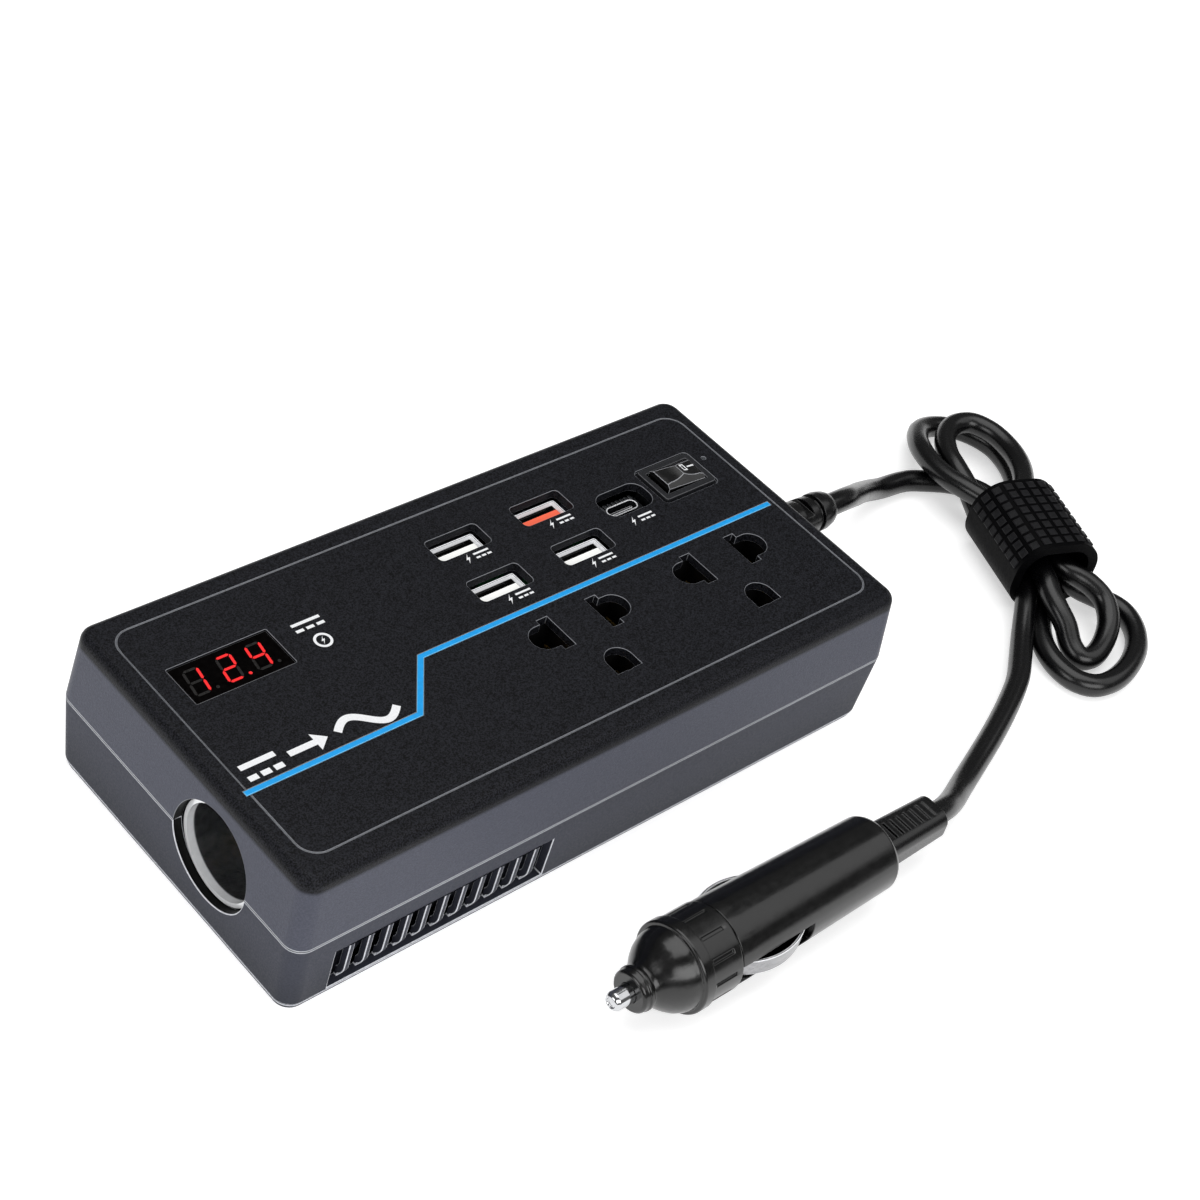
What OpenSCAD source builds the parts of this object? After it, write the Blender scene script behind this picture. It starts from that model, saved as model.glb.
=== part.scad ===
// Compact car power inverter: a two-piece plastic case with two universal mains
// outlets, four USB-A ports, one USB-C port, a rocker switch, a voltage display,
// a lighter socket in the end wall and a corded lighter plug.
// Millimetres, +Z up. The origin is under the middle of the case, on its base.
// +X runs along the case towards the cord, -Y is the vented front.

/* [Case] */
// Length of the case at the parting line
case_l = 170; // [160:1:180]
// Width of the case at the parting line
case_w = 82.4; // [80:0.2:88]
// Height of the case
case_h = 38; // [37:0.5:40]
// Height of the parting line between the two shells
parting_z = 19.5; // [19:0.5:20]
// Wall thickness of both shells
wall = 2.2; // [1.8:0.1:2.4]
// Radius of the upright corners
corner_r = 4; // [4:0.5:6]
// Rounding along the top edges
edge_r = 2.4; // [2:0.2:3.4]
// How far the top leans in from the parting line
top_inset = 1.2; // [0.5:0.1:1.5]
// How far the base leans in from the parting line
base_inset = 1; // [0.8:0.1:2]

/* [Vents] */
// Number of slots in each row
vent_count = 12; // [8:1:12]
// Distance from one slot to the next
vent_pitch = 4.85; // [4.6:0.05:4.9]
// Width of one slot
vent_w = 3.6; // [2.8:0.1:3.7]
// Middle of the first slot
vent_x = -72.2; // [-72.6:0.1:-72]
// Lowest point of the slots
vent_low = 2.4; // [2.3:0.1:3]
// Highest point of the slots
vent_high = 14.1; // [13:0.1:15]

/* [Ports] */
// Middle of the first USB-A column along the case
usb_x = 3.4; // [2:0.1:5]
// Distance between the two USB-A columns
usb_step_x = 24.5; // [22:0.5:25]
// Middle of the near USB-A row across the case
usb_y = 8.25; // [8:0.05:9]
// Distance between the two USB-A rows
usb_step_y = 14.55; // [14:0.05:15]
// Middle of the USB-C port
usb_c_pos = [47.4, 15.9];
// Middle of the rocker switch
switch_pos = [64.2, 16.1];
// Middle of the display window
display_pos = [-62.3, 15.3];
// Middle of the power light
light_pos = [75.3, 18.3];

/* [Outlets] */
// Middle of the first outlet, between its two upper holes
outlet_x = 11; // [10:0.5:12]
// Distance between the two outlets
outlet_step = 42.9; // [42:0.1:44]
// Middle line of the live and neutral holes
outlet_y = -9.95; // [-10.5:0.05:-9.5]
// Distance from that line down to the middle of the ground hole
ground_drop = 13.1; // [12.5:0.1:13.5]

/* [Lighter socket] */
// Middle of the socket across the case
socket_y = -12.3; // [-13:0.1:-12]
// Height of the socket's axis
socket_z = 20; // [19.5:0.5:20]
// Bore radius of the socket tube
socket_r = 10.7; // [10.5:0.05:10.75]
// Depth of the socket tube
socket_depth = 42; // [41:0.5:42]

/* [Lighter plug] */
// Radius of the plug's nose ring
plug_r = 10.45; // [10.3:0.05:10.5]
// Where the front of the plug's tip lies along the case
plug_x = -33; // [-40:1:-28]
// Distance of the plug in front of the case's middle
plug_y = -78; // [-84:1:-74]
// Length from the tip to the back of the barrel
plug_l = 78; // [74:1:80]

/* [Cord] */
// Diameter of the cord
cord_d = 5.8; // [5.4:0.1:6]
// Middle of the tied hank
hank_pos = [162, -25.5];
// Direction of the hank, turned from straight across the case
hank_angle = -21; // [-24:1:-18]

/* [Hidden] */

eps = 0.01;                       // thickness of the slices that hulls join
cut = 1;                          // how far a cutter runs past a face
gap = 0.3;                        // clearance between loose neighbours
slip = 0.05;                      // clearance round a pin or a screw
ceiling_z = case_h - wall;        // underside of the cover's top
end_x = case_l / 2;               // end walls
side_y = case_w / 2;              // front and back walls
hull_fn = 32;                     // facets of the shapes that hulls join
round_fn = 48;                    // facets of plain round shapes
edge_steps = 6;                   // slices in the rounded top edge
rim_z = case_h - 2.4;             // mouths of the USB sockets
usb_hole = [14.6, 6.9];           // opening over a USB-A socket
usb_c_hole = [14.1, 8];           // opening over the USB-C socket
display_hole = [24.7, 11];        // opening over the display
switch_recess = [17.2, 12.2];     // shallow seat round the switch
switch_hole = [14.6, 9.8];        // opening for the switch body
switch_body = [14.2, 9.4];        // switch body below the flange
switch_flange = [15.9, 10.9];     // switch flange above the cover
rocker_size = [12, 7.2];          // rocker seen from above
rocker_z = case_h - 1.4;          // pivot of the rocker
rocker_tilt = 5;                  // half of the rocker's throw, in degrees
slot_in = 5.5;                    // inner edge of a mains slot from the outlet's middle
slot_size = [3, 9.7];             // mains slot, across and along
lobe_x = 10.25;                   // middle of a round pin's lobe
lobe_r = 3.5;                     // radius of a round pin's lobe
ground_r = 3.45;                  // radius of the ground hole's round side
screw_x = 75;                     // case screws along the case
screw_y = 32;                     // case screws across the case
screw_r = 1.45;                   // shank of a case screw
screw_seat_z = 10;                // seat of a case screw's head
socket_wall = 1;                  // wall of the socket tube
socket_mouth_x = -end_x + 2.4;    // front of the socket tube
socket_bore_l = 36.4;             // length of the bore at full radius
socket_end_r = 10;                // radius of the bore behind that
fin_t = 1.8;                      // depth of a vent fin
fin_bend_z = 6.4;                 // height at which a fin starts to bend in
fin_bend_r = 4.4;                 // radius of a fin's outer bend
fin_bend = 50;                    // angle of a fin's bend
board_z = 6;                      // underside of the main board
board_t = 1.6;                    // thickness of a circuit board
board_top = board_z + board_t;
usb_board_z = 20.4;               // underside of the USB board
display_board_z = 26.2;           // underside of the display board
carrier_floor = 14.6;             // underside of the outlet carrier
contact_z = 16.3;                 // underside of the outlet contacts
contact_t = 0.5;                  // sheet thickness of the contacts
leaf_top = 31;                    // top of the contacts' spring leaves
ear_z = 20.4;                     // screw ears of the outlet carrier
carrier_ears = [[-9.4, -20], [74.4, -12]];
usb_screws = [[15.6, 15.5], [37.7, 23]];
display_screws = [[-78, 15.3], [-46.6, 15.3]];
fan_pos = [-32, 32.2, 18.5];      // middle of the fan
fan_size = 30;
fan_depth = 10;
gland_y = 4;                      // axis of the cord gland
gland_end_x = 111;                // end of the cord gland
cord_r = cord_d / 2;
plug_z = plug_r;                  // the plug lies on its nose ring
tip_r = 2.2;                      // shank of the plug's tip
chamber_r = 3.4;                  // fuse chamber in the barrel
fuse_r = 3.15;
cap_front = 5;                    // front of the nose cap, from the tip
cap_back = 28;                    // back of the nose cap
ring_front = 17;                  // front rim of the knurled ring
ring_land = ring_front + 2.6;     // back of the ring's plain band
grip_r = plug_r - 0.4;            // radius of the grooved part behind it
barrel_front_r = 9.8;
barrel_back_r = 8.8;
relief_l = 20;                    // strain relief behind the barrel
bow_mid = 39;                     // middle of a side contact along the plug
bow_out = 10.9;                   // furthest point of a side contact
tie_size = [24, 25.5, 20];        // strap round the hank: across, along, high
tie_wall = 2.6;
tie_r = 8.5;                      // radius of the strap's outer corners
board_posts = [[-10, -33], [62, -33], [-8, 24.5], [64, 26.5]];

// Route of the cord from inside the case to the hank
route_out = [
  [78, 4, 19.5], [90, 4, 19.5], [102, 4, 19.5], [111, 4, 19.5], [119, 4.8, 18.2], [126, 7, 14.8],
  [133, 9.8, 10.8], [140, 12, 7], [147, 13, 4.2], [156.4, 12.9, 2.9], [162.7, 9.9, 2.9]
];
// Route of the cord from the hank to the plug
route_back = [
  [139, -45.4, 3.1], [132.9, -50.1, 2.9], [126, -55, 2.9], [116, -60, 2.9], [105.6, -64.4, 2.9],
  [95, -68.4, 3], [85, -72.2, 4], [77, -75.4, 6.4], [70, -77.4, 9], [63, -78, 10.45], [56, -78, 10.45]
];

// ---- shared shapes ----

module rounded_rect(size, r, fn = round_fn) {
  square([size[0] - 2 * r, size[1]], center = true);
  square([size[0], size[1] - 2 * r], center = true);
  for (sx = [-1, 1], sy = [-1, 1])
    translate([sx * (size[0] / 2 - r), sy * (size[1] / 2 - r)]) circle(r, $fn = fn);
}

module rounded_bar(size, r, z0, z1) {
  translate([0, 0, z0]) linear_extrude(z1 - z0) rounded_rect(size, r);
}

module box(low, high) {
  translate(low) cube(high - low);
}

// A cylinder along +X, +Y or +Z from a point
module rod_x(at, r, l, fn = round_fn) {
  translate(at) rotate([0, 90, 0]) cylinder(h = l, r = r, $fn = fn);
}

module rod_y(at, r, l, fn = round_fn) {
  translate(at) rotate([-90, 0, 0]) cylinder(h = l, r = r, $fn = fn);
}

module rod_z(at, r, l, fn = round_fn) {
  translate(at) cylinder(h = l, r = r, $fn = fn);
}

// Four thin discs, one at each corner of the case, drawn in by inset
module corner_discs(z, inset, r) {
  for (sx = [-1, 1], sy = [-1, 1])
    translate([sx * (end_x - inset - r), sy * (side_y - inset - r), z])
      cylinder(h = eps, r = r, $fn = hull_fn);
}

module at_usb_ports() {
  for (i = [0, 1], j = [0, 1])
    translate([usb_x + i * usb_step_x, usb_y + j * usb_step_y, 0]) children();
}

module at_usb(n) {
  translate([usb_x + floor(n / 2) * usb_step_x, usb_y + (n % 2) * usb_step_y, 0]) children();
}

module at_outlets() {
  for (i = [0, 1]) translate([outlet_x + i * outlet_step, outlet_y, 0]) children();
}

module at_case_screws() {
  for (sx = [-1, 1], sy = [-1, 1]) translate([sx * screw_x, sy * screw_y, 0]) children();
}

// ---- cord sweep ----

function unit(v) = v / norm(v);
// Point at t between p1 and p2 on a smooth curve through p0, p1, p2 and p3
function blend4(p0, p1, p2, p3, t) =
  0.5 * (2 * p1 + (p2 - p0) * t + (2 * p0 - 5 * p1 + 4 * p2 - p3) * t * t
  + (3 * p1 - p0 - 3 * p2 + p3) * t * t * t);
function smooth_route(p, steps) = [
  for (i = [0 : len(p) - 2], s = [0 : steps - 1])
    blend4(p[max(i - 1, 0)], p[i], p[i + 1], p[min(i + 2, len(p) - 1)], s / steps),
  p[len(p) - 1]
];
function ring(p, before, after, r, sides) =
  let (along = unit(after - before), side = unit(cross(along, [0, 0, 1])), up = cross(side, along))
  [for (k = [0 : sides - 1]) p + r * (cos(360 * k / sides) * side + sin(360 * k / sides) * up)];

module sweep(path, r, sides) {
  n = len(path);
  points = [for (i = [0 : n - 1])
    each ring(path[i], path[max(i - 1, 0)], path[min(i + 1, n - 1)], r, sides)];
  skin = [for (i = [0 : n - 2], k = [0 : sides - 1])
    let (a = i * sides + k, b = i * sides + (k + 1) % sides)
    each [[a, b, b + sides], [a, b + sides, a + sides]]];
  first = [for (k = [0 : sides - 1]) sides - 1 - k];
  last = [for (k = [0 : sides - 1]) (n - 1) * sides + k];
  polyhedron(points, concat(skin, [first, last]), convexity = 4);
}

// ---- case ----

module cover_outside() {
  hull() {
    corner_discs(parting_z, 0, corner_r);
    for (i = [0 : edge_steps]) {
      a = 90 * i / edge_steps;
      corner_discs(case_h - edge_r + (edge_r - eps) * sin(a),
                   top_inset + edge_r * (1 - cos(a)),
                   corner_r - edge_r * (1 - cos(a)));
    }
  }
}

module cover_inside() {
  hull() {
    corner_discs(parting_z - cut, wall, corner_r - wall);
    corner_discs(ceiling_z - eps, wall + top_inset + 0.6, corner_r - wall);
  }
}

module case_outside() {
  hull() {
    corner_discs(parting_z - eps, 0, corner_r);
    corner_discs(1.8, base_inset - 0.2, corner_r);
    corner_discs(0, base_inset + 0.5, corner_r - 0.5);
  }
}

module case_inside() {
  hull() {
    corner_discs(parting_z + cut, wall, corner_r - wall);
    corner_discs(wall, wall + base_inset, corner_r - wall);
  }
}

// The mains holes of one outlet: two slots with round lobes, and a ground hole
module outlet_holes() {
  for (s = [-1, 1]) {
    translate([s * (slot_in + slot_size[0] / 2), 0]) square(slot_size, center = true);
    translate([s * lobe_x, 0]) circle(lobe_r, $fn = round_fn);
    translate([s * (slot_in + slot_size[0] + lobe_x) / 2, 0])
      square([lobe_x - slot_in - slot_size[0], 2 * lobe_r], center = true);
  }
  translate([0, -ground_drop]) circle(ground_r, $fn = round_fn);
  translate([0, -ground_drop - 1.65]) square([2 * ground_r, 3.3], center = true);
}

// Path of the blue line across the top
module stripe_shape(grow) {
  w = 0.62 + grow;
  polygon([
    [-80.3 - grow, -14.45 - w], [-36.6, -14.45 - w], [-26.1, -1.4 - w], [78.2 + grow, -1.4 - w],
    [78.2 + grow, -1.4 + w], [-26.8, -1.4 + w], [-37.3, -14.45 + w], [-80.3 - grow, -14.45 + w]
  ]);
}

module cover_openings() {
  at_usb_ports() rounded_bar(usb_hole, 1.2, ceiling_z - cut, case_h + cut);
  translate([usb_c_pos[0], usb_c_pos[1], 0])
    rounded_bar(usb_c_hole, 3.2, ceiling_z - cut, case_h + cut);
  translate([switch_pos[0], switch_pos[1], 0]) {
    rounded_bar(switch_recess, 1.4, case_h - 0.6, case_h + cut);
    rounded_bar(switch_hole, 0.6, ceiling_z - cut, case_h);
  }
  translate([display_pos[0], display_pos[1], 0])
    rounded_bar(display_hole, 0.4, ceiling_z - cut, case_h + cut);
  at_outlets() translate([0, 0, ceiling_z - cut]) linear_extrude(wall + 2 * cut) outlet_holes();
  rod_z([light_pos[0], light_pos[1], ceiling_z - cut], 0.55, wall + 2 * cut);
}

// Fine engraved line round the top
module cover_groove() {
  line = 0.25;
  outline = [159.2, 68.8];
  translate([0, 0, case_h - line]) linear_extrude(cut) difference() {
    rounded_rect(outline, 4.8);
    rounded_rect([outline[0] - 2 * line, outline[1] - 2 * line], 4.8 - line);
  }
}

module top_cover() {
  color("#1c1d20") difference() {
    union() {
      difference() {
        cover_outside();
        cover_inside();
      }
      intersection() {
        cover_outside();
        union() {
          at_case_screws() rod_z([0, 0, parting_z + 0.3], 3.6, ceiling_z - parting_z);
          for (p = usb_screws) rod_z([p[0], p[1], usb_board_z + board_t], 2.2, 15);
          for (p = display_screws) rod_z([p[0], p[1], display_board_z + board_t], 1.9, 9);
          for (p = carrier_ears) rod_z([p[0], p[1], ear_z + 2], 2.2, 15);
          for (x = [-74, -50]) box([x, socket_y - 14, socket_z + 5], [x + 2, socket_y + 14, case_h - 1]);
        }
      }
    }
    cover_openings();
    cover_groove();
    translate([0, 0, case_h - 0.25]) linear_extrude(cut) stripe_shape(slip);
    at_case_screws() rod_z([0, 0, parting_z - cut], screw_r + slip, 10);
    for (p = concat(usb_screws, carrier_ears)) rod_z([p[0], p[1], 20], 1 + slip, 9);
    for (p = display_screws) rod_z([p[0], p[1], 26], 0.9 + slip, 7);
    rod_x([-end_x - cut, socket_y, socket_z], 12.1, 6);
    rod_x([-end_x + 4, socket_y, socket_z], socket_r + socket_wall + slip, 50);
    rod_x([end_x - 5, gland_y, parting_z], 4.75, 10);
  }
}

// Window that one row of fins stands in
module vent_window() {
  box([vent_x - vent_w / 2, -side_y - cut, vent_low],
      [vent_x + (vent_count - 1) * vent_pitch + vent_w / 2, -side_y + 4.6, vent_high]);
}

// Outer face of the bottom case, as a distance in from the parting line
function lean(z) = (base_inset - 0.2) * (parting_z - z) / (parting_z - 1.8);

// Upright fins whose lower ends bend in and stand on the floor
module vent_fins() {
  face = -side_y + 0.04;
  bend_y = face + lean(fin_bend_z) + fin_bend_r;
  outer = [for (a = [0 : 10 : fin_bend])
    [bend_y - fin_bend_r * cos(a), fin_bend_z - fin_bend_r * sin(a)]];
  inner = [for (a = [fin_bend : -10 : 0])
    [bend_y - (fin_bend_r - fin_t) * cos(a), fin_bend_z - (fin_bend_r - fin_t) * sin(a)]];
  foot = [[outer[len(outer) - 1][0] + 0.3, wall - 0.4], [inner[0][0] + 0.05, wall - 0.4]];
  top = [[face + lean(vent_high) + fin_t, vent_high + 0.6], [face + lean(vent_high), vent_high + 0.6]];
  fin_w = vent_pitch - vent_w;
  for (i = [0 : vent_count - 2])
    translate([vent_x + vent_w / 2 + i * vent_pitch, 0, 0]) rotate([90, 0, 90])
      linear_extrude(fin_w) polygon(concat(outer, foot, inner, top));
}

// Shadow line all round, just above the base
module base_groove() {
  depth_in = base_inset + 0.4;
  translate([0, 0, 1.5]) linear_extrude(0.45) difference() {
    square([case_l + cut, case_w + cut], center = true);
    rounded_rect([case_l - 2 * depth_in, case_w - 2 * depth_in], corner_r - 0.5);
  }
}

module bottom_case() {
  color("#3c3e45") difference() {
    union() {
      difference() {
        case_outside();
        case_inside();
        vent_window();
        mirror([0, 1, 0]) vent_window();
        base_groove();
      }
      vent_fins();
      mirror([0, 1, 0]) vent_fins();
      at_case_screws() rod_z([0, 0, 1], 4.2, parting_z - 1.1);
      for (p = board_posts) rod_z([p[0], p[1], 1], 2.8, board_z - 1);
      for (x = [-74, -50]) box([x, socket_y - 14, 1], [x + 2, socket_y + 14, socket_z - 2.5]);
      for (x = [fan_pos[0] - 17.4, fan_pos[0] + 15.4])
        box([x, 26, 1], [x + 2, 38.4, 16]);
      box([-60, -39.8, parting_z - 5], [60, -38.4, parting_z + 1.6]);
      box([-60, 38.4, parting_z - 5], [60, 39.8, parting_z + 1.6]);
    }
    at_case_screws() {
      rod_z([0, 0, -cut], 3.2, screw_seat_z + cut);
      rod_z([0, 0, screw_seat_z - cut], screw_r + 0.2, 12);
    }
    for (p = board_posts) rod_z([p[0], p[1], 2], 1 + slip, 10);
    rod_x([-end_x - cut, socket_y, socket_z], 12.1, 6);
    rod_x([-end_x + 4, socket_y, socket_z], socket_r + socket_wall + slip, 50);
    rod_x([end_x - 5, gland_y, parting_z], 4.75, 10);
    // the cover's wall hangs outside the lip
    difference() {
      box([-62, -side_y - cut, parting_z], [62, side_y + cut, parting_z + 3]);
      box([-62, -38.6, parting_z - cut], [62, 38.6, parting_z + 4]);
    }
  }
}

module accent_stripe() {
  color("#2aa0e0") translate([0, 0, case_h - 0.24]) linear_extrude(0.28) stripe_shape(0);
}

// ---- display ----

module display_lens() {
  color("#14100f") translate([display_pos[0], display_pos[1], 0]) {
    rounded_bar([24.5, 10.8], 0.35, ceiling_z - 1, case_h - 0.3);
    rounded_bar([27, 13.2], 0.5, ceiling_z - 1.2, ceiling_z - slip);
  }
}

module display_module() {
  color("#5a1414") translate([display_pos[0], display_pos[1], 0]) {
    rounded_bar([22.6, 10], 0.3, display_board_z + board_t, ceiling_z - 1.3);
  }
}

module display_board() {
  color("#1f5a36") difference() {
    box([-80.6, display_pos[1] - 9, display_board_z],
        [-44.4, display_pos[1] + 9, display_board_z + board_t]);
    for (p = display_screws) rod_z([p[0], p[1], 20], 0.9 + slip, 10);
  }
}

// ---- USB ports ----

module usb_a_shell(n) {
  color("#c8cacc") at_usb(n) difference() {
    rounded_bar([13.1, 5.7], 0.6, usb_board_z + board_t, rim_z);
    rounded_bar([12.4, 5], 0.3, usb_board_z, rim_z + cut);
    // gaps round the spring tabs in the back wall and in both end walls
    translate([0, 2.85, rim_z]) tab_gap([9.6, 1.4]);
    for (s = [-1, 1]) translate([s * 6.55, 0, rim_z]) rotate([0, 0, 90]) tab_gap([2.8, 1.4]);
  }
}

// Gap on three sides of a spring tab: size is across the tab and through the wall
module tab_gap(size) {
  w = size[0] / 2;
  t = size[1] / 2;
  box([-w, -t, -1.9], [w, t, -1.45]);
  for (s = [-1, 1]) box([s * w - 0.2, -t, -7], [s * w + 0.2, t, -1.45]);
}

module usb_a_tongue(n) {
  color(n == 3 ? "#f0683c" : "#f2f2ee") at_usb(n) difference() {
    union() {
      rounded_bar([12.3, 4.9], 0.25, usb_board_z + board_t + slip, 24.4);
      translate([0, -0.55, 0]) rounded_bar([11.1, 1.84], 0.2, 24, rim_z - 0.5);
    }
    // four channels for the contacts
    for (i = [-1.5 : 1 : 1.5])
      box([i * 2.4 - 0.65, 0.15, 24.4], [i * 2.4 + 0.65, 0.6, rim_z - 1.2]);
  }
}

module usb_contacts() {
  color("#c9a24a") at_usb_ports() for (i = [-1.5 : 1 : 1.5])
    box([i * 2.4 - 0.5, 0.18, 24.5], [i * 2.4 + 0.5, 0.45, rim_z - 1.4]);
}

module usb_c_shell() {
  color("#c8cacc") translate([usb_c_pos[0], usb_c_pos[1], 0]) difference() {
    rounded_bar([8.94, 3.26], 1.6, 25, rim_z);
    rounded_bar([8.34, 2.56], 1.25, 24, rim_z + cut);
  }
}

module usb_c_tongue() {
  color("#2a2a2c") translate([usb_c_pos[0], usb_c_pos[1], 0]) {
    rounded_bar([8.2, 2.4], 1.1, 25, 27);
    rounded_bar([6.7, 0.7], 0.3, 26, rim_z - 0.9);
  }
}

module usb_c_carrier() {
  color("#2e2f33") translate([usb_c_pos[0], usb_c_pos[1], 0]) difference() {
    union() {
      rounded_bar([13, 7], 0.6, usb_board_z + board_t, rim_z - 1.6);
      for (i = [-4 : 4]) for (s = [-1, 1])
        box([i * 1.3 - 0.35, s * 2.75 - 0.6, rim_z - 2], [i * 1.3 + 0.35, s * 2.75 + 0.6, rim_z - 1]);
    }
    rounded_bar([9.06, 3.38], 1.66, 24.95, rim_z + cut);
  }
}

module usb_board() {
  color("#1f5a36") difference() {
    box([-7, 1.6, usb_board_z], [55.6, 26.4, usb_board_z + board_t]);
    for (p = usb_screws) rod_z([p[0], p[1], 18], 1 + slip, 10);
  }
}

// ---- switch ----

module switch_housing() {
  color("#17171a") translate([switch_pos[0], switch_pos[1], 0]) difference() {
    union() {
      rounded_bar(switch_flange, 0.8, case_h - 0.6, case_h + 0.5);
      rounded_bar(switch_body, 0.5, case_h - 12, case_h - 0.6 + eps);
    }
    rounded_bar([13, 7.8], 0.3, case_h - 9, case_h + cut);
    rod_y([0, -5, rocker_z], 0.8 + slip, 10, 24);
  }
}

// Two dished faces meet in a crest, with sloping sides below it
module switch_rocker() {
  crest = 3.9;
  w = rocker_size[0] / 2;
  d = rocker_size[1] / 2;
  color("#111114") translate([switch_pos[0], switch_pos[1], rocker_z])
    rotate([0, rocker_tilt, 0]) {
      intersection() {
        rotate([90, 0, 0]) linear_extrude(2 * d, center = true)
          difference() {
            polygon([[-w, -1.4], [-3.4, -4.6], [3.4, -4.6], [w, -1.4], [w, 2.9], [0, crest], [-w, 2.9]]);
            for (s = [-1, 1]) translate([s * 4.6, 20.2]) circle(17.1, $fn = 96);
          }
        rotate([90, 0, 90]) linear_extrude(2 * w + 2, center = true)
          polygon([[-d, -5], [d, -5], [d, 2.2], [1.3, crest], [-1.3, crest], [-d, 2.2]]);
      }
      rod_y([0, -d - 0.6, 0], 0.8, 2 * d + 1.2, 24);
    }
}

module switch_terminals() {
  color("#c9a24a") for (s = [-1, 1])
    translate([switch_pos[0] + s * 3.6, switch_pos[1], 0])
      box([-0.4, -2.4, 17.5], [0.4, 2.4, case_h - 12 - slip]);
}

module power_light() {
  color("#dfe6ea") {
    rod_z([light_pos[0], light_pos[1], ceiling_z - 3], 0.5, wall + 2.9);
    rod_z([light_pos[0], light_pos[1], ceiling_z - 3.5], 1.5, 3.4);
  }
}

// ---- mains outlets ----

module outlet_carrier() {
  low = contact_z - slip;
  color("#27282c") difference() {
    union() {
      box([-6.2, -31, carrier_floor], [71.4, -1.4, ceiling_z - slip]);
      for (p = carrier_ears) rounded_ear(p);
    }
    for (p = carrier_ears) rod_z([p[0], p[1], ear_z - cut], 1 + slip, 6);
    at_outlets() {
      for (s = [-1, 1]) translate([s * 9.3, 0, 0]) {
        box([-5.2, -5, low], [5.2, 5, case_h]);
        box([-2.2, min(-s * 4, -s * 8.2), low], [2.2, max(-s * 4, -s * 8.2), contact_z + 1.2]);
      }
      translate([0, -ground_drop - 0.3, 0]) box([-4.2, -4, low], [4.2, 4, case_h]);
      translate([0, -ground_drop, 0]) box([-2.2, -5.6, low], [2.2, 0, contact_z + 1.2]);
    }
    // channels that the three bars lie in
    box([-2, -4.5, low], [52, -2.3, contact_z + 1.2]);
    box([16, -18.2, low], [70, -16, contact_z + 1.2]);
    box([6, -29.6, low], [60, -27, contact_z + 1.2]);
  }
}

// Screw ear on either end of the carrier
module rounded_ear(p) {
  rod_z([p[0], p[1], ear_z], 2.6, 2);
  box([min(p[0], 32.6), p[1] - 2.6, ear_z], [max(p[0], 32.6), p[1] + 2.6, ear_z + 2]);
}

// One contact: a pad with three spring leaves. A flat pin goes between the inner two
// and a round pin between the outer two.
module contact_leaves(s) {
  box([-4.8, -3.9, contact_z], [4.8, 3.9, contact_z + contact_t]);
  for (x = [-3.7, -1.5, 3.2])
    box([s * x - contact_t / 2, -3.2, contact_z], [s * x + contact_t / 2, 3.2, leaf_top]);
}

module live_contacts() {
  color("#c9a24a") {
    at_outlets() translate([-9.3, 0, 0]) {
      contact_leaves(-1);
      box([-2, 3, contact_z], [2, 7.4, contact_z + contact_t]);
    }
    box([-1, -4.3, contact_z], [48, -2.5, contact_z + contact_t]);
  }
}

module neutral_contacts() {
  color("#c9a24a") {
    at_outlets() translate([9.3, 0, 0]) {
      contact_leaves(1);
      box([-2, -8, contact_z], [2, -3, contact_z + contact_t]);
    }
    box([17, -18, contact_z], [67, -16.2, contact_z + contact_t]);
  }
}

module ground_contacts() {
  color("#c9a24a") {
    at_outlets() translate([0, -ground_drop, 0]) {
      box([-3.8, -3, contact_z], [3.8, 3, contact_z + contact_t]);
      box([-2, -5.4, contact_z], [2, 0, contact_z + contact_t]);
      for (s = [-1, 1])
        box([s * 3 - contact_t / 2, -2.5, contact_z], [s * 3 + contact_t / 2, 2.5, leaf_top]);
    }
    box([8, -29.4, contact_z], [57, -27.2, contact_z + contact_t]);
  }
}

// ---- lighter socket ----

module socket_tube() {
  outer = socket_r + socket_wall;
  color("#c9cccf") translate([socket_mouth_x, socket_y, socket_z]) rotate([0, 90, 0]) {
    difference() {
      union() {
        cylinder(h = socket_depth, r = outer, $fn = 96);
        translate([0, 0, 0.65]) rotate_extrude($fn = 96)
          translate([socket_r + 0.65, 0]) circle(0.65, $fn = 24);
      }
      translate([0, 0, -cut]) cylinder(h = socket_bore_l + cut, r = socket_r, $fn = 96);
      cylinder(h = socket_depth - 1.2, r = socket_end_r, $fn = 96);
      cylinder(h = socket_depth + cut, r = 4, $fn = 48);
    }
  }
}

module socket_insulator() {
  color("#e8e4d8") translate([socket_mouth_x + socket_depth, socket_y, socket_z])
    rotate([0, 90, 0]) difference() {
      union() {
        translate([0, 0, slip]) cylinder(h = 2.4, r = 9, $fn = 64);
        translate([0, 0, -1.6]) cylinder(h = 2, r = 3.9, $fn = 48);
      }
      translate([0, 0, -3]) cylinder(h = 8, r = 1.55, $fn = 32);
    }
}

module socket_center_contact() {
  color("#c9a24a") translate([socket_mouth_x + socket_depth, socket_y, socket_z])
    rotate([0, 90, 0]) {
      translate([0, 0, -2.6]) cylinder(h = 6, r = 1.5, $fn = 32);
      translate([0, 0, -3.4]) cylinder(h = 1.7, r = 3.2, $fn = 48);
    }
}

// ---- electronics ----

module main_board() {
  color("#1f5a36") difference() {
    box([-38, -37, board_z], [78, 37, board_top]);
    box([-39, 25.6, board_z - cut], [-14.2, 38, board_top + cut]);
    for (s = [-1, 1]) rod_z([screw_x, s * screw_y, 0], 4.7, 12);
    for (p = board_posts) rod_z([p[0], p[1], 0], 1 + slip, 12);
  }
}

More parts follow.
